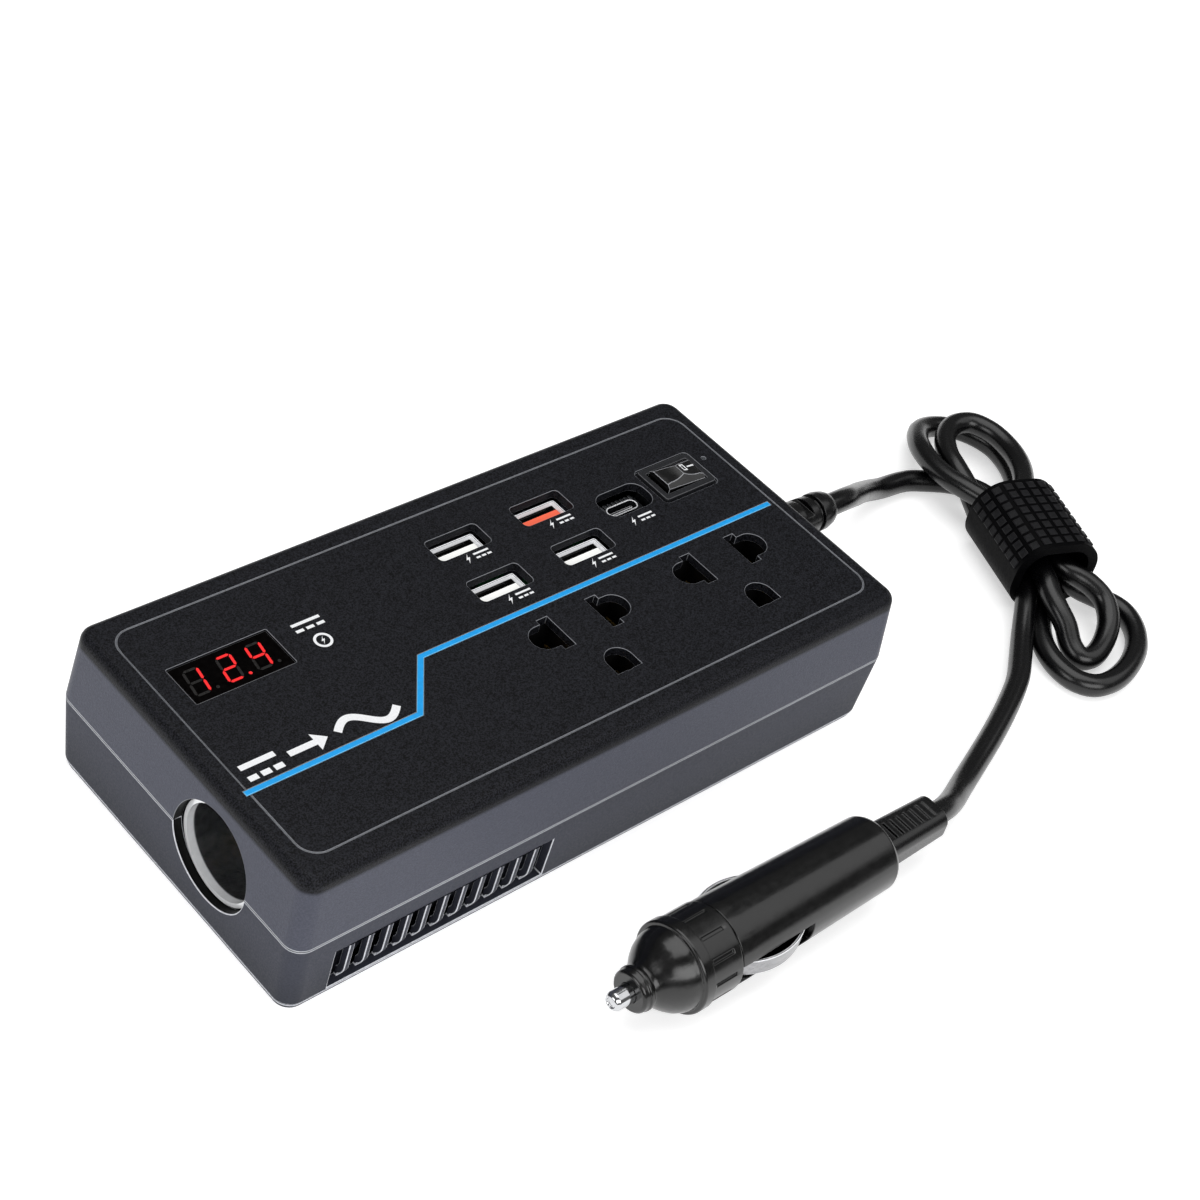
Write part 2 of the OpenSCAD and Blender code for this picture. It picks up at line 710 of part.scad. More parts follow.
module transformer_core() {
  color("#3a3a3e") translate([-24, -2, board_top + 0.6]) difference() {
    box([-14, -6.5, 0], [14, 6.5, 23]);
    for (s = [-1, 1]) box([min(s * 4, s * 10.4), -cut - 7, 3.6], [max(s * 4, s * 10.4), cut + 7, 19.4]);
  }
}

module transformer_winding() {
  color("#b8862e") translate([-24, -2, board_top + 0.6 + 3.8]) difference() {
    union() {
      translate([0, 0, 1]) rounded_bar([20, 22.4], 5, 0, 13.4);
      rounded_bar([20.4, 24], 2, 0, 1.2);
      rounded_bar([20.4, 24], 2, 14.2, 15.4);
    }
    box([-4.2, -6.7, -cut], [4.2, 6.7, 17]);
  }
}

module capacitors() {
  color("#20242c") {
    for (x = [-31, -19]) rod_z([x, -28, board_top + slip], 5, 20);
    rod_x([16, -24, board_top + 3.3], 3.2, 16);
  }
}

module choke() {
  color("#a8642a") translate([58, 8, board_top + 4.4]) rotate_extrude($fn = 64)
    translate([7, 0]) rounded_rect([5.6, 8.4], 2);
}

module heatsink() {
  color("#b9bcc0") {
    box([-2, 31.6, board_top + slip], [58, 33.4, 27]);
    for (i = [0 : 12]) box([-2 + i * 4.9, 33.3, board_top + slip], [-0.8 + i * 4.9, 37, 27]);
  }
}

module power_transistors() {
  color("#1b1b1e") for (i = [0 : 3]) translate([6 + i * 14, 0, 0]) {
    box([-5, 27.2, 11], [5, 31.5, 20.2]);
    box([-5, 30.3, 20], [5, 31.5, 26]);
    for (j = [-1 : 1]) box([j * 2.5 - 0.4, 29, board_top + slip], [j * 2.5 + 0.4, 29.6, 11.2]);
  }
}

// ---- cooling fan ----

module fan_frame() {
  h = fan_size / 2;
  color("#1d1d20") translate(fan_pos) difference() {
    union() {
      difference() {
        rotate([90, 0, 0]) linear_extrude(fan_depth, center = true)
          rounded_rect([fan_size, fan_size], 2.5);
        rod_y([0, -fan_depth, 0], h - 1, 2 * fan_depth, 64);
      }
      // spokes and bearing seat on the outer side
      for (a = [0 : 120 : 240]) rotate([0, a, 0])
        box([-1, fan_depth / 2 - 1.4, 0], [1, fan_depth / 2, h - 0.5]);
      rod_y([0, fan_depth / 2 - 1.6, 0], 7.4, 1.6);
      rod_y([0, -2, 0], 2.4, 6);
    }
    rod_y([0, -3, 0], 0.8 + slip, 9, 24);
    for (x = [-1, 1], z = [-1, 1]) rod_y([x * 12, -fan_depth, z * 12], 1.6, 2 * fan_depth, 24);
  }
}

module fan_rotor() {
  color("#26262a") translate(fan_pos) {
    difference() {
      rod_y([0, -4.6, 0], 7, 7.4);
      rod_y([0, -2.8, 0], 5.8, 8);
    }
    rod_y([0, -3.5, 0], 0.8, 7.8, 24);
    for (i = [0 : 6]) rotate([0, i * 360 / 7, 0])
      translate([0, -0.9, 6.6]) rotate([0, 0, 38])
        box([-0.4, -4, 0], [0.4, 4, 6.6]);
  }
}

// ---- fasteners ----

module case_screws() {
  color("#8c8e92") at_case_screws() difference() {
    union() {
      rod_z([0, 0, screw_seat_z - 2.4], 2.8, 2.4);
      rod_z([0, 0, screw_seat_z - eps], screw_r, 16);
    }
    for (a = [0, 90]) rotate([0, 0, a]) box([-1.6, -0.4, screw_seat_z - 3], [1.6, 0.4, screw_seat_z - 1.4]);
  }
}

module board_screw(p, z, r) {
  rod_z([p[0], p[1], z], 2, 1.4);
  rod_z([p[0], p[1], z - 3.8], r, 4);
}

module board_screws() {
  color("#8c8e92") {
    for (p = board_posts) board_screw(p, board_top, 1);
    for (p = usb_screws) mirror([0, 0, 1]) board_screw(p, -usb_board_z, 1);
    for (p = carrier_ears) mirror([0, 0, 1]) board_screw(p, -ear_z, 1);
    for (p = display_screws) mirror([0, 0, 1]) board_screw(p, -display_board_z, 0.9);
  }
}

// ---- cord ----

module cord_gland() {
  color("#1d1e21") difference() {
    translate([0, gland_y, parting_z]) rotate([0, 90, 0]) rotate_extrude($fn = 64) polygon([
      [cord_r + 0.1, 80], [6.6, 80], [6.6, 81.8], [4.65, 81.8], [4.65, 85.2], [5.9, 85.2],
      [5.7, 92], [5.1, 99], [4.8, 104.2], [3.9, 104.2], [3.9, 105.6], [4.9, 105.6], [4.9, 107.6],
      [4.4, 109.6], [3.7, gland_end_x], [cord_r + 0.1, gland_end_x]
    ]);
    // flexing slots in the two sides
    for (a = [0, 180]) translate([0, gland_y, parting_z]) rotate([a, 0, 0])
      box([99.6, -6.5, 3.6], [102, 6.5, 7]);
    for (a = [90, 270]) translate([0, gland_y, parting_z]) rotate([a, 0, 0])
      box([95, -6.5, 3.8], [97.4, 6.5, 7]);
  }
}

module cord_from_case() {
  color("#101012") sweep(smooth_route(route_out, 2), cord_r, 10);
}

module cord_to_plug() {
  color("#101012") sweep(smooth_route(route_back, 2), cord_r, 10);
}

module in_hank() {
  translate([hank_pos[0], hank_pos[1], 0]) rotate([0, 0, hank_angle]) children();
}

// Outer shape of the folded cord: two lobes joined by a bar that the strap holds
module cord_hank() {
  neck = [tie_size[0] - 2 * tie_wall - 2 * slip, tie_size[2] - 2 * tie_wall - 2 * slip];
  color("#101012") in_hank() {
    linear_extrude(11.8) hull() {
      translate([0.6, 39.8]) circle(17.8, $fn = 40);
      translate([0, tie_size[1] / 2 + 1.2]) square([neck[0], 2], center = true);
    }
    linear_extrude(11.8) hull() {
      translate([4.5, -31]) circle(17.2, $fn = 40);
      translate([0, -tie_size[1] / 2 - 1.2]) square([neck[0], 2], center = true);
    }
    translate([0, 0, tie_size[2] / 2]) rotate([90, 0, 0])
      linear_extrude(tie_size[1] + 3, center = true) rounded_rect(neck, tie_r - tie_wall - slip);
  }
}

module cord_tie() {
  color("#18181a") in_hank() translate([0, 0, tie_size[2] / 2]) rotate([90, 0, 0])
    linear_extrude(tie_size[1], center = true) difference() {
      rounded_rect([tie_size[0], tie_size[2]], tie_r);
      rounded_rect([tie_size[0] - 2 * tie_wall, tie_size[2] - 2 * tie_wall], tie_r - tie_wall);
    }
}

// ---- lighter plug, drawn along +X from the front of its tip ----

module in_plug() {
  translate([plug_x, plug_y, plug_z]) children();
}

module turned(profile, fn = 96) {
  rotate([0, 90, 0]) rotate_extrude($fn = fn) polygon(profile);
}

module plug_strain_relief() {
  l = plug_l;
  color("#141416") in_plug() difference() {
    union() {
      hull() {
        rotate([90, 0, 90]) translate([0, 0, l + slip]) linear_extrude(eps) rounded_rect([10, 9], 2.8);
        rotate([90, 0, 90]) translate([0, 0, l + relief_l]) linear_extrude(eps) rounded_rect([9.2, 8], 2.8);
      }
      rod_x([l - 8, 0, 0], 4.2, 8 + 2 * slip);
    }
    rod_x([l + 6, 0, 0], cord_r + 0.1, relief_l);
    // a shallow panel with ribs across it, on both broad sides
    for (s = [-1, 1]) difference() {
      box([l + 3, -2.3, min(s * 3.7, s * 6)], [l + 17.6, 2.3, max(s * 3.7, s * 6)]);
      for (i = [0 : 5]) box([l + 4.5 + i * 2.2, -3, -6], [l + 5.6 + i * 2.2, 3, 6]);
    }
  }
}

module plug_barrel() {
  color("#0e0e10") in_plug() difference() {
    turned([
      [0, 15], [7.2, 15], [7.2, 18.5], [8, 19], [8, cap_back + 0.2], [barrel_front_r, cap_back + 0.2],
      [barrel_front_r, 32], [barrel_back_r, plug_l - 1.5], [barrel_back_r - 0.5, plug_l - 0.4],
      [barrel_back_r - 1.5, plug_l], [0, plug_l]
    ]);
    rod_x([10, 0, 0], chamber_r, 43);
    rod_x([plug_l - 9, 0, 0], 4.25, 12);
    for (s = [-1, 1])
      box([bow_mid - 10.9, min(s * 4.8, s * 12), -2.6], [bow_mid + 10.9, max(s * 4.8, s * 12), 2.6]);
  }
}

// Screw cap: collar, bell-shaped nose and grooved ring in one piece
module plug_nose_cap() {
  color("#0e0e10") in_plug() difference() {
    turned([
      [tip_r + slip, cap_front], [4.3, cap_front], [4.8, cap_front + 0.5], [4.8, 6.6], [5.1, 6.8],
      [5.1, 7.6], [4.6, 8], [4.6, 8.5], [5.1, 9.3], [6.2, 10.5], [7.4, 11.9], [8.4, 13.4], [9.1, 15],
      [9.45, 16.6], [10.2, 16.7], [plug_r, ring_front + 0.1], [plug_r, ring_land], [grip_r, ring_land],
      [grip_r, cap_back - 0.3], [grip_r - 0.2, cap_back], [8.08, cap_back], [8.08, 14.8], [4.4, 14.8],
      [4.4, 9.4], [tip_r + slip, 9.4]
    ]);
    for (i = [0 : 11]) rotate([i * 30 + 15, 0, 0])
      box([ring_land + 0.6, -0.45, grip_r - 0.45], [cap_back - 2, 0.45, 12]);
  }
}

module plug_tip() {
  color("#d6d8da") in_plug() turned([
    [0, 0.5], [1.1, 0.5], [1.25, 0], [1.7, 0.2], [tip_r, 1], [tip_r, 9.6], [4.1, 9.6],
    [4.1, 10.8], [2.6, 10.8], [2.6, 11.9], [0, 11.9]
  ], 64);
}

module plug_fuse() {
  color("#e4e8e6") in_plug() {
    rod_x([11.95, 0, 0], fuse_r, 6);
    rod_x([17.9, 0, 0], 2.8, 18.2);
    rod_x([36.05, 0, 0], fuse_r, 6);
  }
}

module plug_spring() {
  turns = 5;
  l = 10;
  per_turn = 14;
  path = [for (i = [0 : turns * per_turn]) let (a = 360 * i / per_turn)
    [plug_x + 42.5 + (l - 0.8) * i / (turns * per_turn), plug_y + 2.4 * cos(a), plug_z + 2.4 * sin(a)]];
  color("#b4b6b8") sweep_coil(path, 0.35);
}

// A wire along a coil about X: each ring is set square to the coil's own turn
module sweep_coil(path, r) {
  n = len(path);
  sides = 6;
  points = [for (i = [0 : n - 1])
    let (p = path[i], out = unit([0, p[1] - plug_y, p[2] - plug_z]))
    each [for (k = [0 : sides - 1]) p + r * (cos(60 * k) * out + sin(60 * k) * [1, 0, 0])]];
  skin = [for (i = [0 : n - 2], k = [0 : sides - 1])
    let (a = i * sides + k, b = i * sides + (k + 1) % sides)
    each [[a, a + sides, b + sides], [a, b + sides, b]]];
  first = [for (k = [0 : sides - 1]) k];
  last = [for (k = [0 : sides - 1]) n * sides - 1 - k];
  polyhedron(points, concat(skin, [first, last]), convexity = 8);
}

// Bowed spring strip on one side of the barrel
module plug_contact(s) {
  chord = 10;
  rise = 3.3;
  bow_r = (chord * chord + rise * rise) / (2 * rise);
  color("#d6d8da") in_plug() translate([bow_mid, s * (bow_out - bow_r), 0])
    linear_extrude(4.2, center = true) intersection() {
      difference() {
        circle(bow_r, $fn = 180);
        circle(bow_r - 0.6, $fn = 180);
      }
      translate([0, s * bow_r]) square([2 * chord, 2 * rise], center = true);
    }
}

// ---- what is drawn ----

top_cover();
bottom_case();
accent_stripe();
display_lens();
display_module();
display_board();
usb_a_shell(0);  // usb_a_shell_1
usb_a_shell(1);  // usb_a_shell_2
usb_a_shell(2);  // usb_a_shell_3
usb_a_shell(3);  // usb_a_shell_4
usb_a_tongue(0);  // usb_a_tongue_1
usb_a_tongue(1);  // usb_a_tongue_2
usb_a_tongue(2);  // usb_a_tongue_3
usb_a_tongue(3);  // usb_a_tongue_4
usb_contacts();
usb_c_shell();
usb_c_tongue();
usb_c_carrier();
usb_board();
switch_housing();
switch_rocker();
switch_terminals();
power_light();
outlet_carrier();
live_contacts();
neutral_contacts();
ground_contacts();
socket_tube();
socket_insulator();
socket_center_contact();
main_board();
transformer_core();
transformer_winding();
capacitors();
choke();
heatsink();
power_transistors();
fan_frame();
fan_rotor();
case_screws();
board_screws();
cord_gland();
cord_from_case();
cord_hank();
cord_to_plug();
cord_tie();
plug_strain_relief();
plug_barrel();
plug_nose_cap();
plug_tip();
plug_fuse();
plug_spring();
plug_contact(-1);  // plug_contact_front
plug_contact(1);  // plug_contact_back
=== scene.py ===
"""Looks of the car power inverter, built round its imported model. Everything is in metres."""
import math
import bmesh
import bpy
from mathutils import Matrix, Vector


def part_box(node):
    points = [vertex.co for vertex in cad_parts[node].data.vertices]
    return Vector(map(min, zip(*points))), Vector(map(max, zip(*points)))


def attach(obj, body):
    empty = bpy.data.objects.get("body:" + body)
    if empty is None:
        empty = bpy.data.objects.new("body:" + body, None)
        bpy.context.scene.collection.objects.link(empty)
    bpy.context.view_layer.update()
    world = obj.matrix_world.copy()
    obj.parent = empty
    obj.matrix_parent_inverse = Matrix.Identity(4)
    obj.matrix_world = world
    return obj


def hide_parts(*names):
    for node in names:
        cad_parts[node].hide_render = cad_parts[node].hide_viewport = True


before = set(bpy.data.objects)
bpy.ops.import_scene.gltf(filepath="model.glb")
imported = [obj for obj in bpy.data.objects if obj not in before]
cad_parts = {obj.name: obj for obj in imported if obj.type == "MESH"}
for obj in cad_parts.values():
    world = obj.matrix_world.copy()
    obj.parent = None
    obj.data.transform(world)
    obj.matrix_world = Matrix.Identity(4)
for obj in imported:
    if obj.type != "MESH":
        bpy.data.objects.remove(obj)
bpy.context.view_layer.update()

MM = 0.001
TOP_Z = 38                       # top of the cover, in millimetres
HANK = Vector((162, -25.5, 0))   # middle of the tied hank, in millimetres
HANK_TURN = math.radians(-21)
CORD_D = 5.8 * MM


# ---- camera ----

CAMERA_PLACE = Vector((-300.914, -254.027, 387.25))   # in millimetres
CAMERA_LOOK = Vector((0.59945, 0.4623, -0.65341))     # the way it looks
CAMERA_ROLL = math.radians(16.173)
CAMERA_LENS = 73.79              # focal length on a sensor 36 mm wide


def add_camera():
    data = bpy.data.cameras.new("camera")
    data.lens = CAMERA_LENS
    data.sensor_width = 36
    data.clip_start = 0.01
    data.clip_end = 20
    cam = bpy.data.objects.new("camera", data)
    bpy.context.scene.collection.objects.link(cam)
    turn = CAMERA_LOOK.to_track_quat("-Z", "Y").to_matrix() @ Matrix.Rotation(CAMERA_ROLL, 3, "Z")
    cam.matrix_world = Matrix.Translation(CAMERA_PLACE * MM) @ turn.to_4x4()
    bpy.context.scene.camera = cam


add_camera()


# ---- materials ----

def srgb(r, g, b):
    """A linear colour from 0 to 255 display values."""
    return tuple(((c / 255 + 0.055) / 1.055) ** 2.4 if c > 10 else c / 255 / 12.92 for c in (r, g, b))


def node(mat, kind, **values):
    made = mat.node_tree.nodes.new(kind)
    for key, value in values.items():
        if hasattr(made, key):
            setattr(made, key, value)
        else:
            made.inputs[key.replace("_", " ")].default_value = value
    return made


def link(mat, source, target):
    mat.node_tree.links.new(source, target)


def noise(mat, scale, detail=2.0, stretch=(1, 1, 1)):
    """Noise between 0 and 1 with scale lumps per metre, closer together along a stretched axis."""
    place = node(mat, "ShaderNodeTexCoord")
    spread = node(mat, "ShaderNodeMapping")
    spread.inputs["Scale"].default_value = stretch
    texture = node(mat, "ShaderNodeTexNoise", Scale=scale, Detail=detail)
    link(mat, place.outputs["Object"], spread.inputs["Vector"])
    link(mat, spread.outputs["Vector"], texture.inputs["Vector"])
    return texture.outputs["Fac"]


def ranged(mat, value, low, high, to_low=0.0, to_high=1.0):
    """value between low and high, carried over to between to_low and to_high."""
    made = node(mat, "ShaderNodeMapRange", interpolation_type="SMOOTHSTEP")
    made.inputs["From Min"].default_value = low
    made.inputs["From Max"].default_value = high
    made.inputs["To Min"].default_value = to_low
    made.inputs["To Max"].default_value = to_high
    link(mat, value, made.inputs["Value"])
    return made.outputs["Result"]


def mixed(mat, factor, a, b):
    """Colour a where factor is 0 and b where it is 1. Each is a colour or a socket."""
    made = node(mat, "ShaderNodeMix", data_type="RGBA")
    inputs = [s for s in made.inputs if s.type == "RGBA"]
    for socket, value in zip(inputs, (a, b)):
        if isinstance(value, tuple):
            socket.default_value = (*value, 1)
        else:
            link(mat, value, socket)
    link(mat, factor, made.inputs["Factor"])
    return [s for s in made.outputs if s.type == "RGBA"][0]


def scaled(color, by):
    return tuple(c * by for c in color)


def new_material(name, color, rough, metal=0.0, specular=0.5, grain=900, stretch=(1, 1, 1),
                 vary=0.12, rough_vary=0.06, bump=0.00002):
    """A material whose colour, gloss and surface vary with fine noise."""
    mat = bpy.data.materials.new(name)
    mat.use_nodes = True
    shader = mat.node_tree.nodes["Principled BSDF"]
    shader.inputs["Metallic"].default_value = metal
    shader.inputs["Specular IOR Level"].default_value = specular
    fine = noise(mat, grain, 2.0, stretch)
    factor = ranged(mat, fine, 0.3, 0.7)
    varied = mixed(mat, factor, scaled(color, 1 - vary), scaled(color, 1 + vary))
    link(mat, varied, shader.inputs["Base Color"])
    link(mat, ranged(mat, fine, 0.3, 0.7, rough - rough_vary, rough + rough_vary), shader.inputs["Roughness"])
    made = node(mat, "ShaderNodeBump", Strength=0.5, Distance=bump)
    link(mat, fine, made.inputs["Height"])
    link(mat, made.outputs["Normal"], shader.inputs["Normal"])
    return mat


def position(mat, axis):
    """The X, Y or Z of a point of the surface, as a socket."""
    place = node(mat, "ShaderNodeTexCoord")
    split = node(mat, "ShaderNodeSeparateXYZ")
    link(mat, place.outputs["Object"], split.inputs["Vector"])
    return split.outputs[axis]


def recolor(mat, color):
    """Sets the material's colour to a socket."""
    link(mat, color, mat.node_tree.nodes["Principled BSDF"].inputs["Base Color"])


def add_grain(mat, low, high, scale):
    """The colour of fine moulded grain, as a socket."""
    return mixed(mat, ranged(mat, noise(mat, scale, 3.0), 0.35, 0.65), low, high)


def paint_mouth_shade_and_glow(mat, color, low, high):
    """Sets the colour, fading to black from high down to low as painted shade deep inside, with a faint
    painted glow in the mouth in place of light bounced inside.
    """
    inside = ranged(mat, position(mat, "Z"), low, high)
    shaded_color = mixed(mat, inside, PURE_BLACK, color)
    recolor(mat, shaded_color)
    shader = mat.node_tree.nodes["Principled BSDF"]
    link(mat, shaded_color, shader.inputs["Emission Color"])
    shader.inputs["Emission Strength"].default_value = MOUTH_PAINTED_GLOW


def paint_shade_in_socket_hole(mat, color):
    """Painted shade: black on the wall of the round hole over the lighter socket, where the recess lies in
    shadow.
    """
    place = node(mat, "ShaderNodeTexCoord")
    flat = node(mat, "ShaderNodeVectorMath", operation="MULTIPLY")
    flat.inputs[1].default_value = (0, 1, 1)
    away = node(mat, "ShaderNodeVectorMath", operation="DISTANCE")
    away.inputs[1].default_value = (0, *SOCKET_AXIS)
    link(mat, place.outputs["Object"], flat.inputs[0])
    link(mat, flat.outputs["Vector"], away.inputs[0])
    outside = ranged(mat, away.outputs["Value"], SOCKET_HOLE_R, SOCKET_HOLE_R + 0.05 * MM)
    inward = ranged(mat, position(mat, "X"), SOCKET_HOLE_END_X, SOCKET_HOLE_END_X + 1 * MM)
    either = node(mat, "ShaderNodeMath", operation="MAXIMUM")
    link(mat, outside, either.inputs[0])
    link(mat, inward, either.inputs[1])
    return mixed(mat, either.outputs["Value"], PURE_BLACK, color)


# A glow painted into the USB sockets' mouths, in place of light bounced inside them.
MOUTH_PAINTED_GLOW = 0.3
MOUTH_SHADE_Z = 34.2 * MM         # painted shade makes the USB sockets black below this
MOUTH_UNSHADED_Z = 34.4 * MM        # and leaves their own colour above this
SOCKET_AXIS = (-12.3 * MM, 20 * MM)
SOCKET_HOLE_R = 12.12 * MM
SOCKET_HOLE_END_X = -76 * MM     # well inside the end wall that has the hole
PURE_BLACK = (0.002, 0.002, 0.002)
SOCKET_RIM_X = -81.2 * MM        # back of the rolled rim of the lighter socket
# Painted sheen: the sides are black plastic, coloured the grey they look in the light; the lowest is darker
# as painted shade.
SIDE_SHEEN = srgb(74, 76, 87)
SIDE_SHEEN_MID = srgb(57, 59, 69)
SIDE_SHEEN_SHADED = srgb(48, 50, 58)
# Painted highlight: a light line along the parting of cover and case.
PARTING_HIGHLIGHT = srgb(176, 178, 184)
BLACK_LOW = srgb(2, 2, 3)
BLACK_HIGH = srgb(35, 36, 41)
PARTING_Z = 19.5 * MM
SKIRT_TOP_Z = 34 * MM
BLACK_Z = 35.3 * MM

cover_mat = new_material("cover", BLACK_HIGH, 0.4, specular=0.1, grain=3200, bump=0.00016)
# The cover's sides get the painted grey sheen, its top the black grain.
side_sheen = add_grain(cover_mat, scaled(SIDE_SHEEN, 0.9), scaled(SIDE_SHEEN, 1.1), 2600)
top_grain = add_grain(cover_mat, BLACK_LOW, BLACK_HIGH, 3200)
# Painted highlight along the cover's edge just over the parting.
above_parting_highlight = ranged(cover_mat, position(cover_mat, "Z"), PARTING_Z + 0.3 * MM, PARTING_Z + 0.36 * MM)
side_sheen = mixed(cover_mat, above_parting_highlight, PARTING_HIGHLIGHT, side_sheen)
by_height = ranged(cover_mat, position(cover_mat, "Z"), SKIRT_TOP_Z, BLACK_Z)
recolor(cover_mat, paint_shade_in_socket_hole(cover_mat, mixed(cover_mat, by_height, side_sheen, top_grain)))

case_mat = new_material("case", SIDE_SHEEN_MID, 0.5, specular=0.1, grain=2400, bump=0.00006)
# The case's painted grey sheen, with painted shade darkening it towards the bottom.
lower_shaded_grain = add_grain(case_mat, scaled(SIDE_SHEEN_SHADED, 0.9), scaled(SIDE_SHEEN_SHADED, 1.1), 2600)
upper_sheen_grain = add_grain(case_mat, scaled(SIDE_SHEEN_MID, 0.9), scaled(SIDE_SHEEN_MID, 1.1), 2600)
by_height = ranged(case_mat, position(case_mat, "Z"), 1 * MM, 16 * MM)
sheen_and_shade_grain = mixed(case_mat, by_height, lower_shaded_grain, upper_sheen_grain)
# Painted highlight along the case's edge just under the parting.
parting_highlight = ranged(case_mat, position(case_mat, "Z"), PARTING_Z - 0.5 * MM, PARTING_Z - 0.44 * MM)
recolor(case_mat, paint_shade_in_socket_hole(case_mat, mixed(case_mat, parting_highlight, sheen_and_shade_grain, PARTING_HIGHLIGHT)))

# Painted edge highlights: lighter colours for the bevels round sharp edges.
cover_edge_highlight_mat = new_material("cover_edge_highlight", srgb(118, 120, 125), 0.35, grain=1500)
case_edge_highlight_mat = new_material("case_edge_highlight", srgb(206, 208, 214), 0.35, grain=1500)
part_edge_highlight_mat = new_material("part_edge_highlight", srgb(84, 85, 88), 0.3, grain=1500)
rocker_edge_highlight_mat = new_material("rocker_edge_highlight", srgb(140, 141, 145), 0.3, grain=1500)
blue_mat = new_material("blue", srgb(26, 152, 224), 0.4, specular=0.2, vary=0.05)
# Painted highlight on the stripe's edges.
blue_edge_highlight_mat = new_material("blue_edge_highlight", srgb(120, 200, 240), 0.4, specular=0.2, vary=0.05)
glass_mat = new_material("display_glass", (0.0008, 0.0005, 0.0005), 0.2, specular=0.03, bump=0.000004)
# Painted highlight on the edges of the display lens.
glass_edge_highlight_mat = new_material("display_edge_highlight", srgb(70, 70, 72), 0.4, grain=1500)
# Painted light: the shells are near-white and not metallic, so they stay bright in their shaded mouths.
steel_mat = new_material("steel", srgb(246, 247, 249), 0.3, grain=1400, stretch=(0.15, 1, 1), vary=0.03)
# Painted shade on the edges of the USB-A shells and tongues.
steel_edge_shade_mat = new_material("steel_edge_shade", srgb(60, 60, 63), 0.4, grain=1500)
dark_steel_mat = new_material("dark_steel", srgb(34, 35, 38), 0.3, metal=0.5, grain=1400)
# Painted highlight on the edges of the plug's contacts and the USB-C socket.
light_edge_highlight_mat = new_material("light_edge_highlight", srgb(228, 229, 232), 0.3, grain=1500, vary=0.04)
chrome_mat = new_material("chrome", srgb(196, 197, 199), 0.12, metal=1.0, rough_vary=0.02, vary=0.03,
                          bump=0.000003)
strip_mat = new_material("spring_strip", srgb(150, 150, 152), 0.28, metal=1.0, grain=1400,
                         stretch=(0.2, 1, 1))
socket_mat = new_material("socket_chrome", srgb(244, 245, 247), 0.14, metal=1.0, rough_vary=0.03,
                          vary=0.03, bump=0.000003)
# Painted reflection: the rim is partly non-metallic, so its near-white colour shows as a bright crescent.
rim_to_bore = ranged(socket_mat, position(socket_mat, "X"), SOCKET_RIM_X, SOCKET_RIM_X + 0.6 * MM, 0.3, 1.0)
link(socket_mat, rim_to_bore, socket_mat.node_tree.nodes["Principled BSDF"].inputs["Metallic"])
brass_mat = new_material("brass", srgb(214, 176, 96), 0.28, metal=1.0, stretch=(1, 1, 0.2))
white_mat = new_material("white_plastic", srgb(238, 238, 235), 0.4, vary=0.03)
orange_mat = new_material("orange_plastic", srgb(232, 96, 66), 0.4, vary=0.05)
# Painted shade deep in the USB sockets and a painted glow in their mouths.
for mouth_mat, mouth_color in ((steel_mat, srgb(236, 237, 240)), (white_mat, srgb(238, 238, 235)),
                               (orange_mat, srgb(232, 96, 66))):
    paint_mouth_shade_and_glow(mouth_mat, mouth_color, MOUTH_SHADE_Z, MOUTH_UNSHADED_Z)
gloss_mat = new_material("gloss_black", srgb(4, 4, 4), 0.22, specular=0.6, grain=500, rough_vary=0.03)
matte_mat = new_material("matte_black", srgb(12, 12, 13), 0.5, specular=0.2, grain=2400, vary=0.25,
                         bump=0.00006)
bezel_mat = new_material("bezel", srgb(30, 31, 34), 0.55, specular=0.2, grain=3200, vary=0.5, bump=0.00012)
rubber_mat = new_material("cord_rubber", srgb(2, 2, 3), 0.27, specular=0.5, grain=1200, rough_vary=0.015,
                          bump=0.0000005)
tie_mat = new_material("tie_rubber", srgb(2, 2, 3), 0.5, specular=0.05, grain=1800, bump=0.00005)
pad_mat = new_material("tie_pads", srgb(22, 22, 24), 0.5, specular=0.15, grain=1800, vary=0.3, bump=0.00005)
board_mat = new_material("circuit_board", srgb(24, 92, 52), 0.35, grain=600)
cream_mat = new_material("cream_plastic", srgb(222, 214, 190), 0.5, grain=700)
ferrite_mat = new_material("ferrite", srgb(58, 58, 62), 0.6, grain=2000, vary=0.25)
copper_mat = new_material("copper_wire", srgb(196, 112, 48), 0.3, metal=0.8, grain=1200,
                          stretch=(0.1, 0.1, 1))
alu_mat = new_material("aluminium", srgb(188, 190, 194), 0.35, metal=1.0, grain=1400, stretch=(0.1, 1, 1))
zinc_mat = new_material("zinc", srgb(170, 172, 176), 0.3, metal=1.0, grain=1600)
smoke_mat = new_material("smoked_plastic", srgb(64, 67, 70), 0.15, grain=400, vary=0.05)
red_mat = new_material("red_plastic", srgb(120, 20, 16), 0.3, vary=0.05)
print_mat = new_material("white_print", srgb(232, 233, 235), 0.55, grain=2600, vary=0.05)
lit_mat = new_material("lit_segment", srgb(200, 10, 14), 0.4, vary=0.03)
lit_shader = lit_mat.node_tree.nodes["Principled BSDF"]
lit_shader.inputs["Emission Color"].default_value = (*srgb(225, 14, 18), 1)
lit_shader.inputs["Emission Strength"].default_value = 0.55
unlit_mat = new_material("unlit_segment", srgb(26, 25, 24), 0.3, specular=0.2)
fuse_mat = new_material("fuse_glass", srgb(225, 232, 230), 0.1, vary=0.03)

